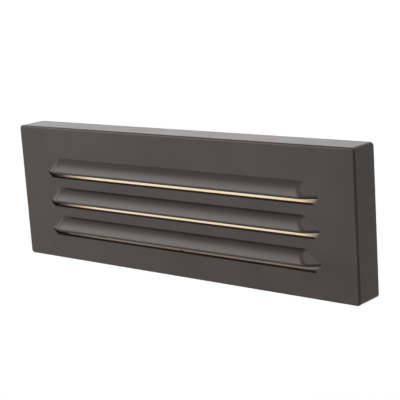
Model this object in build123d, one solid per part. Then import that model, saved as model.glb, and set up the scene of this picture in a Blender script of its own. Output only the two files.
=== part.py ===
"""Surface-mounted louvred step light, in millimetres.

The origin is the centre of the wall-contact plane. +Z is up, +X is right as seen from
the room, and +Y points into the wall. A "depth" is a distance out of the wall, along -Y.
"""
from build123d import *
import math
import os

# ---- overall cover -------------------------------------------------------------------
COVER_LENGTH = 229.0
COVER_HEIGHT = 76.5
COVER_FRONT = 17.5          # depth of the flat front face
COVER_RIM = 0.5             # depth of the rim, just clear of the wall
COVER_WALL = 3.0
COVER_PLATE = 3.2           # thickness of the front plate
COVER_CORNER = 2.0          # rounding of the four corners, seen from the front
COVER_INNER_CORNER = 1.0
COVER_EDGE = 1.0            # rounding of the front edges

# ---- louvres -------------------------------------------------------------------------
LOUVRE_COUNT = 3
LOUVRE_PITCH = 16.8
LOUVRE_MIDDLE = -4.7        # height of the middle louvre's lip
LOUVRE_MARGIN = 19.0        # from the cover's ends to the feet of the hoods
HOOD_PROUD = 4.2            # how far a hood stands out of the front face
HOOD_RISE = 8.45            # from the lip's lowest point up to the crease
HOOD_WALL = 2.6
LIP_TILT = 8.0              # degrees, slope of the hood's face where the lip starts
LIP_ROUND = 1.3             # rounding of the lip's front edge
SLOT_DROP = 2.35            # from the lip down to the slot's lower edge
SLOT_CORNER = 2.5           # cut corners at both ends of the slot
SLOT_INSET = 3.3            # the slot's ends inside the hood's tips
SLOT_BEVEL_DEEP = 1.2       # from the front face to the slot's edge
SLOT_BEVEL = 34.0           # degrees, slope of the bevel outside the edge
SLOT_FLARE = 45.0           # degrees, how the slot widens inside the edge
TIP_INSET = 2.1             # the hood's blunt ends inside its tips
END_RUN = 7.0               # length over which the hood falls from full height to its tip
END_SKEW = 0.78             # how the end facet's foot climbs for each mm inwards
END_WALL = 2.2
FOLD_RADIUS = 6.0           # soft fold between a hood's face and its end facets

# ---- base tray -----------------------------------------------------------------------
GASKET_THICK = 1.0          # foam between the tray and the wall
TRAY_FLOOR = 2.0
TRAY_GAP = 0.5              # between the tray's flange and the cover's walls
SCREW_BAY = 13.0            # length of flange left clear for a wall screw at each end
RIM_SPACE = 2.75            # between the tray's rim and the cover's top and bottom walls
RIM_WALL = 2.0
RIM_RISE = 6.0              # the tray's outer rim above its floor
CORNER = 4.0                # rounding of the rim's corners
CHAMBER_END_SPACE = 1.0     # from the rim's inside to the chamber's wall at each end
CHAMBER_TOP_SPACE = 8.0     # the same above the chamber
CHAMBER_WALL = 2.0
CHAMBER_RISE = 4.6
CHAMBER_CORNER = 1.0
WELL_SPACE = 0.5            # between the grommet's flange and the long walls of the well
LAND_RISE = 1.0             # raised land under the board
FLANGE_CORNER = 2.0

# ---- seals, lens and bezel -------------------------------------------------------------
SEAL_THICK = 0.8
LENS_SEAL_THICK = 0.6
BEZEL_THICK = 2.0
BEZEL_INSET = 0.3           # the bezel's outline inside the rim's
WINDOW_STEP = 1.0           # how far the bezel covers the chamber's inside edge
LENS_SINK = 0.4             # the lens's field lies below the bezel's front
LENS_INSET = 0.2            # the lens's outline inside the chamber's outer wall
WINDOW_CORNER = 3.0
BEZEL_BEVEL = 0.5

# ---- light engine ----------------------------------------------------------------------
PAD_THICK = 0.3
BOARD_GAP = 1.5             # between the board and the chamber's walls
BOARD_THICK = 1.6
SHEET_THICK = 0.4
LED_COLUMNS = 10
LED_ROW_INSET = 9.0         # from the board's long edges to the rows' middles
LED_LENGTH = 3.5
LED_HEIGHT = 2.8
LED_THICK = 0.7

# ---- driver ----------------------------------------------------------------------------
DRIVER_GAP = 1.5            # between the driver board and the well's long walls
DRIVER_THICK = 1.2
DRIVER_OFF_BOSS = 4.5       # from the tray's bosses to both ends of the driver board
DRIVER_SCREW_INSET = 3.2
POST_RADIUS = 2.2
TERMINAL_SIZE = (10.0, 7.0, 3.5)
RECTIFIER_SIZE = (4.7, 3.9, 1.6)
REGULATOR_SIZE = (5.0, 4.0, 1.5)
INDUCTOR_SIZE = (7.3, 7.3, 3.3)
INDUCTOR_CORNER = 1.5
CAPACITOR_RADIUS = 3.15
CAPACITOR_TALL = 3.5
TERMINAL_SCREW = 1.4
TERMINAL_WELL = 2.2
TERMINAL_SUNK = 0.5
TERMINAL_MOUTH = 1.6

# ---- leads -----------------------------------------------------------------------------
LEAD_RADIUS = 0.55
LEAD_PITCH = 4.0
LEAD_JOG = 2.5
LEAD_ON_DRIVER = 3.5        # length lying on the driver board
LEAD_STRAIGHT = 1.0         # straight length past the chamber's wall
LEAD_ON_BOARD = 2.5
LEAD_BEND = 3.0

# ---- fasteners and cable entry -----------------------------------------------------------
BEZEL_SCREW_RADIUS = 1.5
BEZEL_SCREW_HEAD = (2.8, 1.6)       # radius and height
BEZEL_SCREW_LENGTH = 6.0
BEZEL_BOSS_RADIUS = 3.5
BOSS_SINK = 0.5             # how far the bosses run into the rim
BOARD_SCREW_RADIUS = 1.25
BOARD_SCREW_HEAD = (2.3, 1.3)
BOARD_SCREW_LENGTH = 3.8
BOARD_SCREW_INSET = 7.5     # from the board's ends
DRIVER_SCREW_RADIUS = 1.0
DRIVER_SCREW_HEAD = (1.9, 1.1)
DRIVER_SCREW_LENGTH = 3.0
HEAD_BEVEL = 0.5            # sloped shoulder of the pan heads
RECESS_RIM = 0.8            # metal left round the cross recess
RECESS_WIDE = 0.5
RECESS_DEEP = 0.7
SET_SCREW_RADIUS = 2.0
SET_SCREW_SPREAD = 120.0
SET_SCREW_SINK = 0.5        # the set screws' ends below the cover's outer face
SET_SCREW_POINT = 0.6
SET_SCREW_SOCKET = 1.15     # hexagon socket, across corners on the radius
SET_SCREW_SOCKET_DEEP = 2.2
WALL_SLOT_RADIUS = 2.4
WALL_SLOT_LENGTH = 9.0
CABLE_X = -45.0
CABLE_BORE = 3.0            # radius of the grommet's bore
GROMMET_NECK = 5.2
GROMMET_FLANGE = 6.5
GROMMET_LIP = 1.2
GROMMET_NOZZLE = 2.8
GROMMET_TIP = 1.2           # rubber left round the bore at the nozzle's end

# ---- stop ribs inside the cover ------------------------------------------------------------
RIB_COUNT = 4
RIB_PITCH = 60.0
RIB_THICK = 2.5
RIB_GAP = 0.4               # between a rib and the tray's rim

# ---- clearances ----------------------------------------------------------------------------
SCREW_FIT = 0.05            # screw to its threaded hole, on the radius
SCREW_PASS = 0.25           # screw through a clear hole, on the radius
SCREW_END = 0.3             # room past a screw's end
GROMMET_FIT = 0.05
TOUCH = 0.02                # a set screw's tip to the tray's rim
LEAD_PASS = 0.15            # lead through the chamber's wall, on the radius
LEAD_LIE = 0.05             # lead above the board that it lies on
FIT = 0.3                   # loose fit of plates in their seats
GROMMET_SQUEEZE = 0.1       # grommet's back face in front of the wall
PAST = 1.0                  # how far a cut runs past the face that it opens

# ---- depths that follow from the stack -------------------------------------------------------
FLOOR = GASKET_THICK + TRAY_FLOOR
RIM_TOP = FLOOR + RIM_RISE
BEZEL_BACK = RIM_TOP + SEAL_THICK
BEZEL_FRONT = BEZEL_BACK + BEZEL_THICK
CHAMBER_TOP = FLOOR + CHAMBER_RISE
LENS_BACK = CHAMBER_TOP + LENS_SEAL_THICK
LAND_TOP = FLOOR + LAND_RISE
BOARD_BACK = LAND_TOP + PAD_THICK
BOARD_FRONT = BOARD_BACK + BOARD_THICK
DRIVER_BACK = BOARD_FRONT - DRIVER_THICK
PLATE_BACK = COVER_FRONT - COVER_PLATE
LEAD_DEPTH = BOARD_FRONT + LEAD_RADIUS + LEAD_LIE
SET_SCREW_DEPTH = (FLOOR + RIM_TOP) / 2

# ---- lengths and heights that follow -----------------------------------------------------------
INSIDE_LENGTH = COVER_LENGTH - 2 * COVER_WALL
INSIDE_HEIGHT = COVER_HEIGHT - 2 * COVER_WALL
LOUVRE_HALF = COVER_LENGTH / 2 - LOUVRE_MARGIN
FLANGE_HALF = INSIDE_LENGTH / 2 - TRAY_GAP
RIM_HALF_LENGTH = FLANGE_HALF - SCREW_BAY
RIM_HALF_HEIGHT = INSIDE_HEIGHT / 2 - RIM_SPACE
WALL_SLOT_X = (RIM_HALF_LENGTH + FLANGE_HALF) / 2

# ---- the light chamber, and the well below it with the driver and the cable entry --------------
WELL_LOW = RIM_WALL - RIM_HALF_HEIGHT
WELL_TOP = WELL_LOW + 2 * (GROMMET_FLANGE + WELL_SPACE)
WELL_MIDDLE = (WELL_TOP + WELL_LOW) / 2
CHAMBER_LOW = WELL_TOP + CHAMBER_WALL
CHAMBER_HIGH = -WELL_LOW - CHAMBER_TOP_SPACE - CHAMBER_WALL
CHAMBER_UP = (CHAMBER_HIGH + CHAMBER_LOW) / 2
CHAMBER_HEIGHT = CHAMBER_HIGH - CHAMBER_LOW
CHAMBER_LENGTH = 2 * (RIM_HALF_LENGTH - RIM_WALL - CHAMBER_END_SPACE - CHAMBER_WALL)
BOARD_LENGTH = CHAMBER_LENGTH - 2 * BOARD_GAP
BOARD_HEIGHT = CHAMBER_HEIGHT - 2 * BOARD_GAP
BOARD_SCREW_END = BOARD_LENGTH / 2 - BOARD_SCREW_INSET
BOARD_SCREW_X = (-BOARD_SCREW_END, 0.0, BOARD_SCREW_END)
LED_PITCH = BOARD_LENGTH / (LED_COLUMNS + 1)
BOSS_OFF_RIM = RIM_WALL + BEZEL_BOSS_RADIUS - BOSS_SINK
BEZEL_SCREW_END = RIM_HALF_LENGTH - BOSS_OFF_RIM
BEZEL_SCREW_X = (-BEZEL_SCREW_END, 0.0, BEZEL_SCREW_END)
BEZEL_SCREW_UP = RIM_HALF_HEIGHT - BOSS_OFF_RIM
SET_SCREW_X = (-SET_SCREW_SPREAD / 2, SET_SCREW_SPREAD / 2)
RIB_X = [RIB_PITCH * (number - (RIB_COUNT - 1) / 2) for number in range(RIB_COUNT)]
DRIVER_HEIGHT = WELL_TOP - WELL_LOW - 2 * DRIVER_GAP
DRIVER_LEFT = BEZEL_BOSS_RADIUS + DRIVER_OFF_BOSS
DRIVER_LENGTH = BEZEL_SCREW_END - BEZEL_BOSS_RADIUS - DRIVER_OFF_BOSS - DRIVER_LEFT
DRIVER_SCREW_ROOM = DRIVER_SCREW_INSET + DRIVER_SCREW_HEAD[0]
DRIVER_ROW = {              # widths of what the driver board carries, from left to right
    "terminal": TERMINAL_SIZE[0],
    "rectifier": RECTIFIER_SIZE[0],
    "first_capacitor": 2 * CAPACITOR_RADIUS,
    "second_capacitor": 2 * CAPACITOR_RADIUS,
    "inductor": INDUCTOR_SIZE[0],
    "regulator": REGULATOR_SIZE[0],
    "leads": LEAD_PITCH + 2 * LEAD_RADIUS,
}


def slab(sketch, back, front):
    """A flat sketch in X and Z, made solid between two depths."""
    return extrude(Plane.XZ.offset(back) * sketch, front - back)


def disc(x, z, radius, back, front):
    return slab(Pos(x, z) * Circle(radius), back, front)


def block(x, z, size, back):
    length, height, thick = size
    return slab(Pos(x, z) * Rectangle(length, height), back, back + thick)


def plate_outline(length, height, radius, z=0.0):
    return Pos(0, z) * RectangleRounded(length, height, radius)


def rim_outline(inset=0.0):
    length = 2 * (RIM_HALF_LENGTH - inset)
    height = 2 * (RIM_HALF_HEIGHT - inset)
    return plate_outline(length, height, CORNER - inset / 2)


def chamber_outline(grow):
    length = CHAMBER_LENGTH + 2 * grow
    height = CHAMBER_HEIGHT + 2 * grow
    return plate_outline(length, height, CHAMBER_CORNER + grow, CHAMBER_UP)


def wall_slots():
    slot = SlotOverall(WALL_SLOT_LENGTH, 2 * WALL_SLOT_RADIUS)
    return Pos(-WALL_SLOT_X, 0) * slot + Pos(WALL_SLOT_X, 0) * slot


def bezel_screw_places():
    return [(x, z) for x in BEZEL_SCREW_X for z in (-BEZEL_SCREW_UP, BEZEL_SCREW_UP)]


def driver_screw_places():
    left = DRIVER_LEFT + DRIVER_SCREW_INSET
    right = DRIVER_LEFT + DRIVER_LENGTH - DRIVER_SCREW_INSET
    return [(left, WELL_MIDDLE), (right, WELL_MIDDLE)]


def led_places():
    low = CHAMBER_UP - BOARD_HEIGHT / 2 + LED_ROW_INSET
    high = CHAMBER_UP + BOARD_HEIGHT / 2 - LED_ROW_INSET
    columns = [LED_PITCH * (number - (LED_COLUMNS - 1) / 2) for number in range(LED_COLUMNS)]
    return [(x, z) for z in (low, high) for x in columns]


# ---- louvred cover -----------------------------------------------------------------------
# A hood, its hollow and its slot are made with the lip's lowest point at Z = 0.
def hood_arc():
    """Centre and radius, in proud and height, of the arc from a hood's crease to its lip."""
    tilt = math.radians(LIP_TILT)
    rise = HOOD_RISE - LIP_ROUND
    crease_tilt = 2 * math.atan2(HOOD_PROUD, rise) - tilt
    radius = rise / (math.sin(crease_tilt) - math.sin(tilt))
    middle_proud = HOOD_PROUD - radius * math.cos(tilt)
    middle_z = LIP_ROUND - radius * math.sin(tilt)
    return middle_proud, middle_z, radius


def hood_bar(inward, root):
    """A long bar under the hood's arc, moved inwards, from the lip back to a root depth."""
    middle_proud, middle_z, radius = hood_arc()
    radius -= inward

    def on_arc(angle):
        proud = middle_proud + radius * math.cos(angle)
        z = middle_z + radius * math.sin(angle)
        return Vector(0, -(COVER_FRONT + proud), z)

    top = math.acos((root - COVER_FRONT - middle_proud) / radius)
    low = math.asin(-middle_z / radius)
    corner = Vector(0, -root, 0)
    edges = [
        ThreePointArc(on_arc(top), on_arc((top + low) / 2), on_arc(low)),
        Line(on_arc(low), corner),
        Line(corner, on_arc(top)),
    ]
    return extrude(make_face(edges), COVER_LENGTH / 2, dir=(1, 0, 0), both=True)


def cut_ends(bar, inward):
    """The bar cut to its sloping end facets, which are moved inwards along their normals."""
    for side in (-1, 1):
        tip = Vector(side * LOUVRE_HALF, -COVER_FRONT, 0)
        along_foot = Vector(-side, 0, END_SKEW)
        up_slope = Vector(-side * END_RUN, -HOOD_PROUD, 0)
        normal = along_foot.cross(up_slope).normalized() * side
        facet = Plane(origin=tip - normal * inward, z_dir=normal)
        bar = split(bar, bisect_by=facet, keep=Keep.BOTTOM)
    return bar


def hood_solid():
    hood = cut_ends(hood_bar(0.0, COVER_FRONT - COVER_PLATE / 2), 0.0)
    hood = fillet(hood.edges().filter_by(GeomType.ELLIPSE), FOLD_RADIUS)
    bottom = hood.faces().sort_by(Axis.Z)[0]
    lip_edge = bottom.edges().filter_by(GeomType.BSPLINE)[0]
    hood = fillet(lip_edge, LIP_ROUND)     # runs on along the whole smooth lip
    end = LOUVRE_HALF - TIP_INSET
    hood = split(hood, bisect_by=Plane.YZ.offset(end), keep=Keep.BOTTOM)
    return split(hood, bisect_by=Plane.YZ.offset(-end), keep=Keep.TOP)


def hood_hollow():
    return cut_ends(hood_bar(HOOD_WALL, PLATE_BACK - PAST), END_WALL)


def slot_cut():
    """A slot that is narrowest at an edge just inside the face and widens both ways."""
    edge = COVER_FRONT - SLOT_BEVEL_DEEP
    tip = LOUVRE_HALF - SLOT_INSET
    outline = Polyline(
        (-tip + SLOT_CORNER, -SLOT_DROP),
        (tip - SLOT_CORNER, -SLOT_DROP),
        (tip + SLOT_CORNER, SLOT_DROP),
        (-tip - SLOT_CORNER, SLOT_DROP),
        close=True,
    )
    face = Plane.XZ.offset(edge) * make_face(outline)
    outer = extrude(face, SLOT_BEVEL_DEEP + PAST, taper=-SLOT_BEVEL)
    inner = extrude(face, edge - PLATE_BACK + PAST, dir=(0, 1, 0), taper=-SLOT_FLARE)
    return split(outer + inner, bisect_by=Plane.XY, keep=Keep.BOTTOM)


def cover_shell():
    outside = plate_outline(COVER_LENGTH, COVER_HEIGHT, COVER_CORNER)
    inside = plate_outline(INSIDE_LENGTH, INSIDE_HEIGHT, COVER_INNER_CORNER)
    shell = slab(outside, COVER_RIM, COVER_FRONT)
    front_edges = shell.faces().sort_by(Axis.Y)[0].edges()
    shell = fillet(front_edges, COVER_EDGE)
    return shell - slab(inside, COVER_RIM - PAST, PLATE_BACK)


def stop_ribs():
    """Ribs that seat the cover on the tray's flange."""
    low = RIM_HALF_HEIGHT + RIB_GAP
    high = INSIDE_HEIGHT / 2 + COVER_WALL / 2
    ribs = Part()
    for x in RIB_X:
        for side in (-1, 1):
            outline = Pos(x, side * (low + high) / 2) * Rectangle(RIB_THICK, high - low)
            ribs += slab(outline, FLOOR, PLATE_BACK + COVER_PLATE / 2)
    return ribs


def lip_heights():
    middle = (LOUVRE_COUNT - 1) / 2
    return [LOUVRE_MIDDLE + LOUVRE_PITCH * (middle - number) for number in range(LOUVRE_COUNT)]


def louvred_cover():
    cover = cover_shell() + stop_ribs()
    hood, hollow, slot = hood_solid(), hood_hollow(), slot_cut()
    for lip_z in lip_heights():
        place = Pos(0, 0, lip_z)
        cover = cover + place * hood - place * hollow - place * slot
    for x in SET_SCREW_X:
        hole = Cylinder(SET_SCREW_RADIUS + SCREW_FIT, 2 * COVER_WALL)
        cover -= Pos(x, -SET_SCREW_DEPTH, -COVER_HEIGHT / 2 + COVER_WALL / 2) * hole
    return cover


def cover_set_screws():
    """Headless screws through the cover's bottom wall, each with a hexagon socket."""
    low = -COVER_HEIGHT / 2 + SET_SCREW_SINK
    high = -RIM_HALF_HEIGHT - TOUCH
    screws = []
    for x in SET_SCREW_X:
        place = Pos(x, -SET_SCREW_DEPTH, low)
        upwards = (Align.CENTER, Align.CENTER, Align.MIN)
        bolt = Cylinder(SET_SCREW_RADIUS, high - low, align=upwards)
        bolt = chamfer(bolt.edges().sort_by(Axis.Z)[-1], SET_SCREW_POINT)
        socket = extrude(RegularPolygon(SET_SCREW_SOCKET, 6), SET_SCREW_SOCKET_DEEP)
        screws.append(place * (bolt - socket))
    return Compound(children=screws)


# ---- base tray and the seals on it -------------------------------------------------------
def flange_outline(gap):
    return plate_outline(INSIDE_LENGTH - 2 * gap, INSIDE_HEIGHT - 2 * gap, FLANGE_CORNER)


def boss_discs(radius):
    discs = Sketch()
    for x, z in bezel_screw_places():
        discs += Pos(x, z) * Circle(radius)
    return discs


def rim_ring():
    """The outer rim seen from the front, with the bezel screws' bosses."""
    inside = rim_outline(RIM_WALL)
    return rim_outline() - inside + boss_discs(BEZEL_BOSS_RADIUS) & rim_outline()


def base_tray():
    chamber_ring = chamber_outline(CHAMBER_WALL) - chamber_outline(0.0)
    land = Pos(0, CHAMBER_UP) * Rectangle(BOARD_LENGTH, BOARD_HEIGHT)
    tray = slab(flange_outline(TRAY_GAP), GASKET_THICK, FLOOR)
    tray += slab(rim_ring(), FLOOR, RIM_TOP)
    tray += slab(chamber_ring, FLOOR, CHAMBER_TOP)
    tray += slab(land, FLOOR, LAND_TOP)
    for x, z in driver_screw_places():
        tray += disc(x, z, POST_RADIUS, FLOOR, DRIVER_BACK)
    tray -= slab(wall_slots(), 0, FLOOR + PAST)
    tray -= disc(CABLE_X, WELL_MIDDLE, GROMMET_NECK + GROMMET_FIT, 0, FLOOR + PAST)
    for x, z in bezel_screw_places():
        low = BEZEL_FRONT - BEZEL_SCREW_LENGTH - SCREW_END
        tray -= disc(x, z, BEZEL_SCREW_RADIUS + SCREW_FIT, low, RIM_TOP + PAST)
    for x in BOARD_SCREW_X:
        low = BOARD_FRONT - BOARD_SCREW_LENGTH - SCREW_END
        tray -= disc(x, CHAMBER_UP, BOARD_SCREW_RADIUS + SCREW_FIT, low, LAND_TOP + PAST)
    for x, z in driver_screw_places():
        low = BOARD_FRONT - DRIVER_SCREW_LENGTH - SCREW_END
        tray -= disc(x, z, DRIVER_SCREW_RADIUS + SCREW_FIT, low, DRIVER_BACK + PAST)
    for x in lead_places():
        hole = Cylinder(LEAD_RADIUS + LEAD_PASS, 2 * CHAMBER_WALL)
        tray -= Pos(x, -LEAD_DEPTH, CHAMBER_LOW - CHAMBER_WALL / 2) * hole
    return tray


def wall_gasket():
    sheet = flange_outline(TRAY_GAP) - wall_slots()
    sheet -= Pos(CABLE_X, WELL_MIDDLE) * Circle(GROMMET_FLANGE + FIT)
    return slab(sheet, 0, GASKET_THICK)


def cable_grommet():
    """A rubber bush turned about the cable's axis: flange, neck, inner lip and nozzle."""
    back = GROMMET_SQUEEZE
    lip_front = FLOOR + GROMMET_LIP
    front = lip_front + GROMMET_NOZZLE
    outline = Polyline(
        (CABLE_BORE, back),
        (GROMMET_FLANGE, back),
        (GROMMET_FLANGE, GASKET_THICK),
        (GROMMET_NECK, GASKET_THICK),
        (GROMMET_NECK, FLOOR),
        (GROMMET_FLANGE, FLOOR),
        (GROMMET_FLANGE, lip_front),
        (GROMMET_NECK, lip_front),
        (CABLE_BORE + GROMMET_TIP, front),
        (CABLE_BORE, front),
        close=True,
    )
    bush = revolve(Plane.XZ * make_face(outline), Axis.Z)
    return Pos(CABLE_X, 0, WELL_MIDDLE) * Rot(90, 0, 0) * bush


def bezel_gasket():
    ring = rim_ring() - boss_discs(BEZEL_SCREW_RADIUS + SCREW_PASS)
    return slab(ring, RIM_TOP, BEZEL_BACK)


def lens_gasket():
    ring = chamber_outline(CHAMBER_WALL - LENS_INSET) - chamber_outline(FIT)
    return slab(ring, CHAMBER_TOP, LENS_BACK)


def window(inset):
    length = CHAMBER_LENGTH - 2 * (WINDOW_STEP + inset)
    height = CHAMBER_HEIGHT - 2 * (WINDOW_STEP + inset)
    return plate_outline(length, height, WINDOW_CORNER - inset, CHAMBER_UP)


def lens():
    """A frosted plate whose raised field fills the bezel's window."""
    plate = slab(chamber_outline(CHAMBER_WALL - LENS_INSET), LENS_BACK, BEZEL_BACK)
    field = slab(window(FIT), BEZEL_BACK, BEZEL_FRONT - LENS_SINK)
    return plate + field


def lens_bezel():
    back = BEZEL_BACK - PAST
    front = BEZEL_FRONT + PAST
    plate = slab(rim_outline(BEZEL_INSET), BEZEL_BACK, BEZEL_FRONT)
    plate = chamfer(plate.faces().sort_by(Axis.Y)[0].edges(), BEZEL_BEVEL)
    plate -= slab(window(0.0), back, front)
    for x, z in bezel_screw_places():
        plate -= disc(x, z, BEZEL_SCREW_RADIUS + SCREW_PASS, back, front)
    return plate


# ---- screws ------------------------------------------------------------------------------
def pan_screw(x, z, radius, head_size, seat, length):
    """A pan-head screw whose head sits on a seat depth, with a cross recess."""
    head_radius, head_tall = head_size
    top = seat + head_tall
    head = disc(x, z, head_radius, seat, top)
    head = chamfer(head.faces().sort_by(Axis.Y)[0].edges(), HEAD_BEVEL)
    bar = 2 * (head_radius - RECESS_RIM)
    recess = block(x, z, (bar, RECESS_WIDE, RECESS_DEEP), top - RECESS_DEEP)
    recess += block(x, z, (RECESS_WIDE, bar, RECESS_DEEP), top - RECESS_DEEP)
    return head + disc(x, z, radius, seat - length, seat) - recess


def screw_set(places, radius, head_size, seat, length):
    screws = [pan_screw(x, z, radius, head_size, seat, length) for x, z in places]
    return Compound(children=screws)


def bezel_screws():
    size = (BEZEL_SCREW_RADIUS, BEZEL_SCREW_HEAD, BEZEL_FRONT, BEZEL_SCREW_LENGTH)
    return screw_set(bezel_screw_places(), *size)


def board_screws():
    places = [(x, CHAMBER_UP) for x in BOARD_SCREW_X]
    size = (BOARD_SCREW_RADIUS, BOARD_SCREW_HEAD, BOARD_FRONT, BOARD_SCREW_LENGTH)
    return screw_set(places, *size)


def driver_screws():
    size = (DRIVER_SCREW_RADIUS, DRIVER_SCREW_HEAD, BOARD_FRONT, DRIVER_SCREW_LENGTH)
    return screw_set(driver_screw_places(), *size)


# ---- light engine --------------------------------------------------------------------------
def board_outline():
    return plate_outline(BOARD_LENGTH, BOARD_HEIGHT, CHAMBER_CORNER, CHAMBER_UP)


def board_holes(radius):
    holes = Sketch()
    for x in BOARD_SCREW_X:
        holes += Pos(x, CHAMBER_UP) * Circle(radius)
    return holes


def thermal_pad():
    pad = board_outline() - board_holes(BOARD_SCREW_RADIUS + SCREW_PASS)
    return slab(pad, LAND_TOP, BOARD_BACK)


def led_board():
    board = board_outline() - board_holes(BOARD_SCREW_RADIUS + SCREW_PASS)
    return slab(board, BOARD_BACK, BOARD_FRONT)


def led_chips():
    size = (LED_LENGTH, LED_HEIGHT, LED_THICK)
    return Compound(children=[block(x, z, size, BOARD_FRONT) for x, z in led_places()])


def reflector_sheet():
    """White film on the board, cut out round the lamps, the screws and the leads' ends."""
    sheet = board_outline() - board_holes(BOARD_SCREW_HEAD[0] + FIT)
    for x, z in led_places():
        sheet -= Pos(x, z) * Rectangle(LED_LENGTH + 2 * FIT, LED_HEIGHT + 2 * FIT)
    leads = lead_places()
    left = min(leads) - LEAD_JOG - 2 * LEAD_RADIUS
    right = max(leads) + 2 * LEAD_RADIUS
    low = CHAMBER_UP - BOARD_HEIGHT / 2
    high = lead_end_z() + 2 * LEAD_RADIUS
    sheet -= Pos((left + right) / 2, low) * Rectangle(right - left, 2 * (high - low))
    return slab(sheet, BOARD_FRONT, BOARD_FRONT + SHEET_THICK)


# ---- driver --------------------------------------------------------------------------------
def on_driver(name):
    """Place along X of one member of the driver board's row, which has even gaps."""
    widths = list(DRIVER_ROW.values())
    number = list(DRIVER_ROW).index(name)
    room = DRIVER_LENGTH - 2 * DRIVER_SCREW_ROOM
    gap = (room - sum(widths)) / (len(widths) + 1)
    before = (number + 1) * gap + sum(widths[:number])
    return DRIVER_LEFT + DRIVER_SCREW_ROOM + before + widths[number] / 2


def driver_board():
    middle = DRIVER_LEFT + DRIVER_LENGTH / 2
    board = Pos(middle, WELL_MIDDLE) * Rectangle(DRIVER_LENGTH, DRIVER_HEIGHT)
    for x, z in driver_screw_places():
        board -= Pos(x, z) * Circle(DRIVER_SCREW_RADIUS + SCREW_PASS)
    return slab(board, DRIVER_BACK, BOARD_FRONT)


def driver_rectifier():
    return block(on_driver("rectifier"), WELL_MIDDLE, RECTIFIER_SIZE, BOARD_FRONT)


def driver_regulator():
    return block(on_driver("regulator"), WELL_MIDDLE, REGULATOR_SIZE, BOARD_FRONT)


def driver_inductor():
    length, height, tall = INDUCTOR_SIZE
    outline = RectangleRounded(length, height, INDUCTOR_CORNER)
    place = Pos(on_driver("inductor"), WELL_MIDDLE)
    return slab(place * outline, BOARD_FRONT, BOARD_FRONT + tall)


def driver_capacitors():
    front = BOARD_FRONT + CAPACITOR_TALL
    cans = [
        disc(on_driver(name), WELL_MIDDLE, CAPACITOR_RADIUS, BOARD_FRONT, front)
        for name in ("first_capacitor", "second_capacitor")
    ]
    return Compound(children=cans)


def terminal_ways():
    half = TERMINAL_SIZE[0] / 4
    middle = on_driver("terminal")
    return (middle - half, middle + half)


def input_terminal():
    """A two-way block: a wire mouth on the lower side and a screw well above each way."""
    body = block(on_driver("terminal"), WELL_MIDDLE, TERMINAL_SIZE, BOARD_FRONT)
    low = WELL_MIDDLE - TERMINAL_SIZE[1] / 2
    top = BOARD_FRONT + TERMINAL_SIZE[2]
    for x in terminal_ways():
        body -= disc(x, WELL_MIDDLE, TERMINAL_SCREW + SCREW_FIT, top - TERMINAL_WELL, top + PAST)
        mouth = Box(TERMINAL_MOUTH, TERMINAL_MOUTH, TERMINAL_SIZE[1] / 2)
        body -= Pos(x, -BOARD_FRONT - TERMINAL_MOUTH, low) * mouth
    return body


def terminal_screws():
    top = BOARD_FRONT + TERMINAL_SIZE[2]
    screws = []
    for x in terminal_ways():
        screw = disc(x, WELL_MIDDLE, TERMINAL_SCREW, top - TERMINAL_WELL, top - TERMINAL_SUNK)
        slot = (2 * TERMINAL_SCREW, TERMINAL_SCREW / 2, TERMINAL_SUNK)
        screws.append(screw - block(x, WELL_MIDDLE, slot, top - 2 * TERMINAL_SUNK))
    return Compound(children=screws)


# ---- leads from the driver to the lamps ------------------------------------------------------
def lead_places():
    middle = on_driver("leads")
    return [middle - LEAD_PITCH / 2, middle + LEAD_PITCH / 2]


def lead_jog_z():
    return CHAMBER_LOW + LEAD_STRAIGHT


def lead_end_z():
    return lead_jog_z() + LEAD_JOG + LEAD_ON_BOARD


def lead(x):
    """A round lead along straight runs with rounded bends, through the chamber's wall."""
    y = -LEAD_DEPTH
    start_z = WELL_MIDDLE + DRIVER_HEIGHT / 2 - LEAD_ON_DRIVER
    corners = [
        (x, y, start_z),
        (x, y, lead_jog_z()),
        (x - LEAD_JOG, y, lead_jog_z() + LEAD_JOG),
        (x - LEAD_JOG, y, lead_end_z()),
    ]
    route = FilletPolyline(*corners, radius=LEAD_BEND)
    section = Plane(origin=corners[0], z_dir=(0, 0, 1)) * Circle(LEAD_RADIUS)
    tube = sweep(section, path=route)
    print("lead", round(tube.volume / (math.pi * LEAD_RADIUS**2 * route.length), 5))
    return tube


def led_lead_red():
    return lead(lead_places()[0])


def led_lead_black():
    return lead(lead_places()[1])


NODES = (
    louvred_cover, cover_set_screws, base_tray, wall_gasket, cable_grommet, bezel_gasket,
    lens_gasket, lens, lens_bezel, bezel_screws, thermal_pad, led_board, led_chips,
    board_screws, reflector_sheet, driver_board, driver_rectifier, driver_regulator,
    driver_inductor, driver_capacitors, input_terminal, terminal_screws, driver_screws,
    led_lead_red, led_lead_black,
)

os.makedirs("parts", exist_ok=True)
for node in NODES:
    export_step(node(), f"parts/{node.__name__}.step")
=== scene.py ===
"""Looks of the louvred step light: its paint, lit lens, rubber and boards, and the studio.

Lengths are in metres unless a comment says otherwise, angles in degrees, colours linear RGBA.
"""
import math

import bpy
from mathutils import Matrix, Vector

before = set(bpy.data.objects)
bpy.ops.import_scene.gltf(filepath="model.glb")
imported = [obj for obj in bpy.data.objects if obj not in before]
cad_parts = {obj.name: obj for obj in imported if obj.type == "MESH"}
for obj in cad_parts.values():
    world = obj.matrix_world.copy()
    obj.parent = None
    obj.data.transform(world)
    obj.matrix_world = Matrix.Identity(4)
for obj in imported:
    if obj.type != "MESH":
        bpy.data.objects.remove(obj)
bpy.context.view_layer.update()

WHITE = (1.0, 1.0, 1.0, 1.0)

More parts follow.
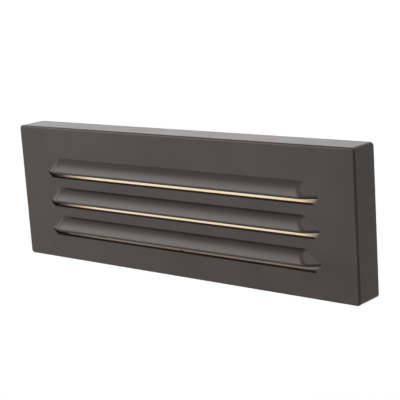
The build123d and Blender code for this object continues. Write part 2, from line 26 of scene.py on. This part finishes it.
# ---- camera --------------------------------------------------------------------------
CAMERA_AT = Vector((0.41287, -0.47717, 0.13604))
CAMERA_TARGET = Vector((0.01949, -0.0175, 0.00541))
CAMERA_ROLL = -3.846
CAMERA_LENS = 108.0             # millimetres
SENSOR_WIDTH = 36.0             # millimetres
CLIP_NEAR = 0.01
CLIP_FAR = 100.0

# ---- studio --------------------------------------------------------------------------
FLOOR_Z = -0.32
FLOOR_SIZE = 40.0
FLOOR_COLOUR = (0.86, 0.86, 0.855, 1.0)
FLOOR_ROUGH = 0.9
# The floor's glow keeps it white where no light reaches it. Above 0.5 the renderer takes
# the floor for a lamp, and its mirror image in the paint comes out darker.
FLOOR_LIFT = 0.5
LOBES = (
    # azimuth and elevation of a soft source, its sharpness, its strength
    (-41.0, 0.0, 40.0, 4.5),        # level with the cover, on the left of the room
    (-41.0, 9.0, 40.0, 1.0),        # just above that
    (-41.0, 20.0, 30.0, 4.4),       # higher
    (-41.0, -12.0, 30.0, 3.4),      # below
    (-30.0, -10.0, 60.0, 4.8),      # nearer the middle, a little low
    (-85.0, 5.0, 12.0, 1.3),        # far left
    (20.0, 45.0, 20.0, 3.7),        # high on the right
    (-139.0, 12.0, 12.0, 0.5),      # behind, on the left
    (0.0, 90.0, 20.0, 1.8),         # overhead
)

# ---- paint ---------------------------------------------------------------------------
PAINT_DARK = (0.021, 0.0135, 0.0095, 1.0)
PAINT_LIGHT = (0.029, 0.020, 0.0145, 1.0)
PAINT_SHEEN = (1.0, 0.995, 0.985, 1.0)
PAINT_IOR = 1.35
PAINT_ROUGH = (0.28, 0.34)
PAINT_GRAIN = 0.00045           # size of the powder's grain
PAINT_CLOUD = 0.03              # size of the broad, faint changes of shade
GRAIN_SHARE = 0.35              # how much of the shade follows the grain
CLOUD_SHARE = 0.65
PAINT_TONES = (0.35, 0.65)      # values of the mixed noise at which the paint is dark or light

# ---- lit lens and bezel --------------------------------------------------------------
LENS_GLOW = 0.75
LENS_BODY = (0.86, 0.84, 0.8, 1.0)
LENS_WARM = (1.0, 0.84, 0.58, 1.0)
LENS_AMBER = (1.0, 0.72, 0.46, 1.0)
AMBER_FROM = (0.058, 0.080)     # distances from the middle over which warm turns to amber
LENS_EDGE = (0.06, 0.04, 0.03, 1.0)
LENS_IOR = 1.49
LENS_ROUGH = (0.42, 0.55)
LENS_FROST = 0.0004             # size of the frosting's grain
FADE_LEFT = (-0.091, -0.062)    # where the light falls off along X
FADE_RIGHT = (0.077, 0.089)
# painted glow on the bezel: emission standing in for the lens's light bounced onto it inside the
# cover
BEZEL_PAINTED_GLOW = 0.14
BEZEL_PAINTED_GLOW_COLOUR = (1.0, 0.74, 0.58, 1.0)
BEZEL_DARK = (0.74, 0.73, 0.70, 1.0)
BEZEL_LIGHT = (0.80, 0.79, 0.76, 1.0)
BEZEL_ROUGH = (0.4, 0.52)
BEZEL_LUMP = 0.001

# ---- foam and driver board -----------------------------------------------------------
FOAM_DARK = (0.012, 0.012, 0.013, 1.0)
FOAM_LIGHT = (0.04, 0.04, 0.042, 1.0)
FOAM_IOR = 1.4
FOAM_PORE = 0.0007
FOAM_ROUGH = (0.95, 0.8)
# distances from a pore's middle, as shares of its size, over which the foam turns pale
# and less rough
FOAM_PALER = (0.1, 0.6)
FOAM_SMOOTHER = (0.0, 0.6)
MASK_GREEN = (0.012, 0.10, 0.035, 1.0)      # solder mask over the bare board
TRACK_GREEN = (0.03, 0.19, 0.07, 1.0)       # the same over copper
MASK_IOR = 1.5
MASK_ROUGH = (0.28, 0.4)
MASK_WAVE = 0.002               # size of the changes in its gloss
TRACK_PITCH = 0.004
TRACK_EDGE = (0.06, 0.09)       # distances from a track's middle, as shares of the pitch

# ---- noise, and the fine lumps of the plain finishes ---------------------------------
NOISE_RANGE = (0.3, 0.7)        # nearly all values of a noise lie between these
LUMP_DETAIL = 3.0
LUMP_ROUGHNESS = 0.6
LUMP_BUMP = 0.6


class Nodes:
    """Short ways to add shader nodes to one tree."""

    def __init__(self, tree):
        self.tree = tree
        self.place = self.add("TexCoord").outputs["Object"]

    def add(self, kind, inputs=None, **settings):
        node = self.tree.nodes.new("ShaderNode" + kind)
        for name, value in settings.items():
            setattr(node, name, value)
        for socket, value in (inputs or {}).items():
            self.join(value, node.inputs[socket])
        return node

    def join(self, value, socket):
        """Links another node's output to the socket, or sets a plain value on it."""
        if isinstance(value, bpy.types.NodeSocket):
            self.tree.links.new(value, socket)
        else:
            socket.default_value = value

    def math(self, operation, first, second=0.0):
        node = self.add("Math", {0: first, 1: second}, operation=operation)
        return node.outputs[0]

    def noise(self, size, detail=2.0, roughness=0.5):
        inputs = {
            "Vector": self.place, "Scale": 1 / size, "Detail": detail, "Roughness": roughness,
        }
        return self.add("TexNoise", inputs).outputs["Fac"]

    def cells(self, size, feature="F1"):
        inputs = {"Vector": self.place, "Scale": 1 / size}
        return self.add("TexVoronoi", inputs, feature=feature).outputs["Distance"]

    def along_x(self):
        return self.add("SeparateXYZ", {"Vector": self.place}).outputs["X"]

    def spread(self, value, low, high, new_low, new_high, curve="LINEAR"):
        """Maps low to high onto new_low to new_high, and holds both ends."""
        inputs = {0: value, 1: low, 2: high, 3: new_low, 4: new_high}
        node = self.add("MapRange", inputs, clamp=True, interpolation_type=curve)
        return node.outputs[0]

    def mix(self, factor, first, second):
        node = self.add("Mix", {0: factor}, data_type="RGBA")
        self.join(first, node.inputs[6])
        self.join(second, node.inputs[7])
        return node.outputs[2]

    def bump(self, height, depth, strength):
        inputs = {"Height": height, "Distance": depth, "Strength": strength}
        return self.add("Bump", inputs).outputs["Normal"]

    def background_ray(self):
        """1 for rays that show the background: to the camera, mirrored, or seen through glass."""
        path = self.add("LightPath").outputs
        seen = self.math("MAXIMUM", path["Is Camera Ray"], path["Is Glossy Ray"])
        return self.math("MAXIMUM", seen, path["Is Transmission Ray"])


def material(name, **steady):
    """A new material, its shader and a node helper. Steady sockets are set by their names."""
    made = bpy.data.materials.new(name)
    made.use_nodes = True
    shader = made.node_tree.nodes["Principled BSDF"]
    for socket, value in steady.items():
        shader.inputs[socket.replace("_", " ")].default_value = value
    return made, shader, Nodes(made.node_tree)


def dress(nodes, shader, **varied):
    """Links values that vary over the surface to the shader's sockets."""
    for socket, value in varied.items():
        nodes.join(value, shader.inputs[socket.replace("_", " ")])


# ---- finishes that show --------------------------------------------------------------
def bronze_paint():
    """Satin powder coat: a fine grain over broad, faint clouds."""
    made, shader, nodes = material("bronze_powder_coat", IOR=PAINT_IOR, Specular_Tint=PAINT_SHEEN)
    grain = nodes.noise(PAINT_GRAIN, detail=2.0)
    cloud = nodes.noise(PAINT_CLOUD, detail=3.0)
    grain_part = nodes.math("MULTIPLY", grain, GRAIN_SHARE)
    cloud_part = nodes.math("MULTIPLY", cloud, CLOUD_SHARE)
    tone = nodes.math("ADD", grain_part, cloud_part)
    shade = nodes.spread(tone, *PAINT_TONES, 0.0, 1.0)
    dress(
        nodes, shader,
        Base_Color=nodes.mix(shade, PAINT_DARK, PAINT_LIGHT),
        Roughness=nodes.spread(tone, *NOISE_RANGE, *PAINT_ROUGH),
        Normal=nodes.bump(grain, depth=0.00001, strength=0.5),
    )
    return made


def led_light(nodes):
    """The share of the LEDs' light at a place along the lens: 1 in the middle, 0 past the ends."""
    along = nodes.along_x()
    left = nodes.spread(along, *FADE_LEFT, 0.0, 1.0, curve="SMOOTHSTEP")
    right = nodes.spread(along, *FADE_RIGHT, 1.0, 0.0, curve="SMOOTHSTEP")
    return nodes.math("MULTIPLY", left, right)


def frosted_lens():
    """Frosted acrylic, lit from behind: warm white in the middle and amber towards the ends."""
    made, shader, nodes = material(
        "lit_frosted_lens", IOR=LENS_IOR, Emission_Strength=LENS_GLOW, Base_Color=LENS_BODY,
    )
    frost = nodes.noise(LENS_FROST, detail=2.0)
    off_middle = nodes.math("ABSOLUTE", nodes.along_x())
    amber = nodes.spread(off_middle, *AMBER_FROM, 0.0, 1.0, curve="SMOOTHSTEP")
    light = led_light(nodes)
    lit = nodes.mix(amber, LENS_WARM, LENS_AMBER)
    dress(
        nodes, shader,
        Emission_Color=nodes.mix(light, LENS_EDGE, lit),
        Roughness=nodes.spread(frost, *NOISE_RANGE, *LENS_ROUGH),
        Normal=nodes.bump(frost, depth=0.00001, strength=0.4),
    )
    return made


def white_plastic():
    """The bezel's white moulding, with a painted glow standing in for the lens's light bounced
    onto it; the glow fades along X with the LEDs.
    """
    made, shader, nodes = material("white_moulding", Emission_Strength=BEZEL_PAINTED_GLOW)
    lumps = nodes.noise(BEZEL_LUMP, LUMP_DETAIL, LUMP_ROUGHNESS)
    shade = nodes.spread(lumps, *NOISE_RANGE, 0.0, 1.0)
    dress(
        nodes, shader,
        Base_Color=nodes.mix(shade, BEZEL_DARK, BEZEL_LIGHT),
        Roughness=nodes.spread(lumps, *NOISE_RANGE, *BEZEL_ROUGH),
        Normal=nodes.bump(lumps, depth=0.000008, strength=LUMP_BUMP),
        # painted glow: emission standing in for bounced lens light, fading along X like the LEDs
        Emission_Color=nodes.mix(led_light(nodes), LENS_EDGE, BEZEL_PAINTED_GLOW_COLOUR),
    )
    return made


# ---- finishes of the other pieces ----------------------------------------------------
def foam():
    made, shader, nodes = material("black_foam", IOR=FOAM_IOR)
    pores = nodes.cells(FOAM_PORE)
    shade = nodes.spread(pores, *FOAM_PALER, 0.0, 1.0)
    dress(
        nodes, shader,
        Base_Color=nodes.mix(shade, FOAM_DARK, FOAM_LIGHT),
        Roughness=nodes.spread(pores, *FOAM_SMOOTHER, *FOAM_ROUGH),
        Normal=nodes.bump(pores, depth=0.0002, strength=0.8),
    )
    return made


def board_green():
    """Green solder mask, paler and a little raised over a net of copper tracks."""
    made, shader, nodes = material("green_solder_mask", IOR=MASK_IOR)
    tracks = nodes.cells(TRACK_PITCH, "DISTANCE_TO_EDGE")
    copper = nodes.spread(tracks, *TRACK_EDGE, 1.0, 0.0)
    colour = nodes.mix(copper, MASK_GREEN, TRACK_GREEN)
    gloss = nodes.noise(MASK_WAVE)
    dress(
        nodes, shader,
        Base_Color=colour,
        Roughness=nodes.spread(gloss, *NOISE_RANGE, *MASK_ROUGH),
        Normal=nodes.bump(copper, depth=0.00003, strength=0.7),
    )
    return made


def speckled(name, dark, light, size, rough, depth, **steady):
    """A plain finish with fine lumps: a colour, roughness and bump that follow one noise.

    dark and light are its two shades, size is how wide the lumps are and depth how high,
    and rough is the range of the roughness.
    """
    made, shader, nodes = material(name, **steady)
    lumps = nodes.noise(size, LUMP_DETAIL, LUMP_ROUGHNESS)
    shade = nodes.spread(lumps, *NOISE_RANGE, 0.0, 1.0)
    varied_rough = nodes.spread(lumps, *NOISE_RANGE, *rough)
    dress(
        nodes, shader,
        Base_Color=nodes.mix(shade, (*dark, 1.0), (*light, 1.0)),
        Roughness=varied_rough,
        Normal=nodes.bump(lumps, depth, LUMP_BUMP),
    )
    return made


def black_steel():
    return speckled(
        "black_oxide_steel", dark=(0.02, 0.02, 0.022), light=(0.05, 0.05, 0.052),
        size=0.0005, rough=(0.35, 0.5), depth=0.00001, Metallic=0.8,
    )


def steel():
    return speckled(
        "stainless_steel", dark=(0.5, 0.5, 0.49), light=(0.62, 0.61, 0.6),
        size=0.0006, rough=(0.22, 0.36), depth=0.000005, Metallic=1.0,
    )


def grommet_rubber():
    return speckled(
        "grommet_rubber", dark=(0.018, 0.018, 0.02), light=(0.032, 0.032, 0.034),
        size=0.0008, rough=(0.55, 0.7), depth=0.00002,
    )


def silicone():
    return speckled(
        "silicone_seal", dark=(0.50, 0.48, 0.45), light=(0.58, 0.56, 0.53),
        size=0.0012, rough=(0.45, 0.6), depth=0.00001,
    )


def thermal_silicone():
    return speckled(
        "thermal_pad_silicone", dark=(0.30, 0.35, 0.42), light=(0.38, 0.43, 0.5),
        size=0.001, rough=(0.6, 0.75), depth=0.00001,
    )


def board_white():
    return speckled(
        "white_solder_mask", dark=(0.78, 0.78, 0.76), light=(0.84, 0.84, 0.82),
        size=0.002, rough=(0.3, 0.42), depth=0.000005,
    )


def led_phosphor():
    return speckled(
        "led_phosphor", dark=(0.88, 0.62, 0.14), light=(0.95, 0.74, 0.24),
        size=0.0004, rough=(0.4, 0.55), depth=0.00001,
    )


def white_film():
    return speckled(
        "white_reflector_film", dark=(0.84, 0.84, 0.82), light=(0.9, 0.9, 0.88),
        size=0.0015, rough=(0.5, 0.65), depth=0.000005,
    )


def black_plastic():
    return speckled(
        "moulded_black", dark=(0.014, 0.014, 0.015), light=(0.026, 0.026, 0.027),
        size=0.0003, rough=(0.4, 0.55), depth=0.00001,
    )


def ferrite():
    return speckled(
        "ferrite", dark=(0.035, 0.035, 0.04), light=(0.065, 0.065, 0.07),
        size=0.0005, rough=(0.45, 0.65), depth=0.00002,
    )


def can_aluminium():
    return speckled(
        "capacitor_can", dark=(0.62, 0.62, 0.63), light=(0.74, 0.74, 0.75),
        size=0.0008, rough=(0.2, 0.32), depth=0.000005, Metallic=1.0,
    )


def terminal_plastic():
    return speckled(
        "terminal_green", dark=(0.035, 0.17, 0.08), light=(0.055, 0.23, 0.11),
        size=0.0006, rough=(0.35, 0.5), depth=0.00001,
    )


def lead_red():
    return speckled(
        "red_insulation", dark=(0.42, 0.015, 0.012), light=(0.55, 0.03, 0.025),
        size=0.0008, rough=(0.3, 0.42), depth=0.000005,
    )


def lead_black():
    return speckled(
        "black_insulation", dark=(0.015, 0.015, 0.016), light=(0.03, 0.03, 0.031),
        size=0.0008, rough=(0.3, 0.42), depth=0.000005,
    )


FINISHES = (
    bronze_paint, black_steel, foam, grommet_rubber, silicone, frosted_lens, steel,
    thermal_silicone, board_white, led_phosphor, white_film, white_plastic, board_green,
    black_plastic, ferrite, can_aluminium, terminal_plastic, lead_red, lead_black,
)


def dress_nodes():
    """Gives every CAD node the finish that is named after its material slot."""
    finishes = {make.__name__: make() for make in FINISHES}
    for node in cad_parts.values():
        for place in node.material_slots:
            place.material = finishes[place.material.name]


# ---- camera, floor and world ---------------------------------------------------------
def make_camera():
    camera = bpy.data.objects.new("camera", bpy.data.cameras.new("camera"))
    bpy.context.scene.collection.objects.link(camera)
    camera.data.sensor_width = SENSOR_WIDTH
    camera.data.lens = CAMERA_LENS
    camera.data.clip_start = CLIP_NEAR
    camera.data.clip_end = CLIP_FAR
    level = (CAMERA_TARGET - CAMERA_AT).to_track_quat("-Z", "Y").to_matrix().to_4x4()
    roll = Matrix.Rotation(math.radians(CAMERA_ROLL), 4, "Z")
    camera.matrix_world = Matrix.Translation(CAMERA_AT) @ level @ roll
    bpy.context.scene.camera = camera


def make_floor():
    """A pale floor for the rays that show the background. Other rays pass through it."""
    bpy.ops.mesh.primitive_plane_add(size=FLOOR_SIZE, location=(0, 0, FLOOR_Z))
    floor = bpy.context.object
    floor.name = "floor"
    made, shader, nodes = material(
        "pale_floor", Base_Color=FLOOR_COLOUR, Roughness=FLOOR_ROUGH, Emission_Color=WHITE,
        Emission_Strength=FLOOR_LIFT,
    )
    seen = nodes.background_ray()
    clear = nodes.add("BsdfTransparent").outputs[0]
    both = nodes.add("MixShader", {0: seen, 1: clear, 2: shader.outputs[0]})
    output = made.node_tree.nodes["Material Output"]
    nodes.join(both.outputs[0], output.inputs["Surface"])
    floor.data.materials.append(made)


def direction(azimuth, elevation):
    """A unit vector from the object. Azimuth 0 is the room, along -Y, and 90 is +X."""
    turn = math.radians(azimuth)
    rise = math.radians(elevation)
    return (math.sin(turn) * math.cos(rise), -math.cos(turn) * math.cos(rise), math.sin(rise))


def make_world():
    """Soft lobes of light in the dark, and white for the rays that show the background."""
    world = bpy.data.worlds.new("studio")
    bpy.context.scene.world = world
    world.use_nodes = True
    nodes = Nodes(world.node_tree)
    back = world.node_tree.nodes["Background"]
    way = nodes.add("TexCoord").outputs["Generated"]
    light = 0.0
    for azimuth, elevation, sharpness, strength in LOBES:
        ends = {0: way, 1: direction(azimuth, elevation)}
        dot = nodes.add("VectorMath", ends, operation="DOT_PRODUCT")
        facing = nodes.math("MAXIMUM", dot.outputs["Value"], 0.0)
        lobe = nodes.math("POWER", facing, sharpness)
        light = nodes.math("ADD", nodes.math("MULTIPLY", lobe, strength), light)
    seen = nodes.background_ray()
    nodes.join(nodes.math("ADD", seen, light), back.inputs["Strength"])
    back.inputs["Color"].default_value = WHITE


make_camera()
make_floor()
make_world()
dress_nodes()

bpy.context.scene.view_settings.view_transform = "Standard"
bpy.context.view_layer.update()
